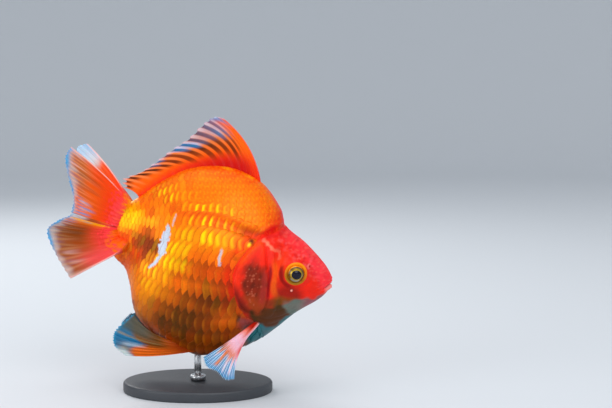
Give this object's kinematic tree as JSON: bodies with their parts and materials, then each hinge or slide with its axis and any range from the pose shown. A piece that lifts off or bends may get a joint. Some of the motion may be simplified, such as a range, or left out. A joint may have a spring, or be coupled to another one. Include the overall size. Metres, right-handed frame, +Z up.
{
  "type": "goldfish model on a display stand",
  "caption": "Life-size still model of a deep-bodied double-tailed goldfish with a humped back, swimming nose-down on a plain rod stand.",
  "frame": {"origin": "middle of the stand base's underside, on the floor", "axes": "+Z up; +X towards the fish's snout, which points 15 degrees below level; +Y to the fish's left"},
  "size_m": [0.1183, 0.0593, 0.1173],
  "materials": {
    "head_skin": "moist red-orange skin",
    "scaled_skin": "metallic orange scales over orange skin",
    "gill_cover": "metallic bony plate under thin skin",
    "fin": "translucent orange membrane on bony rays",
    "eye": "wet eyeball with dark pupil and gold iris",
    "stand_base": "satin powder coat",
    "stand_steel": "brushed"
  },
  "bodies": {
    "root": {"head": "head_skin", "lower_jaw": "head_skin", "gill_cover_right": "gill_cover", "gill_cover_left": "gill_cover", "eye_right": "eye", "eye_left": "eye", "trunk": "scaled_skin", "tail_stem": "scaled_skin", "dorsal_fin": "fin", "tail_fin_upper_right": "fin", "tail_fin_lower_right": "fin", "tail_fin_upper_left": "fin", "tail_fin_lower_left": "fin", "pectoral_fin_right": "fin", "pectoral_fin_left": "fin", "pelvic_fin_right": "fin", "pelvic_fin_left": "fin", "anal_fin_right": "fin", "anal_fin_left": "fin", "stand_base": "stand_base", "stand_rod": "stand_steel", "stand_collar": "stand_steel"}
  },
  "joints": []
}
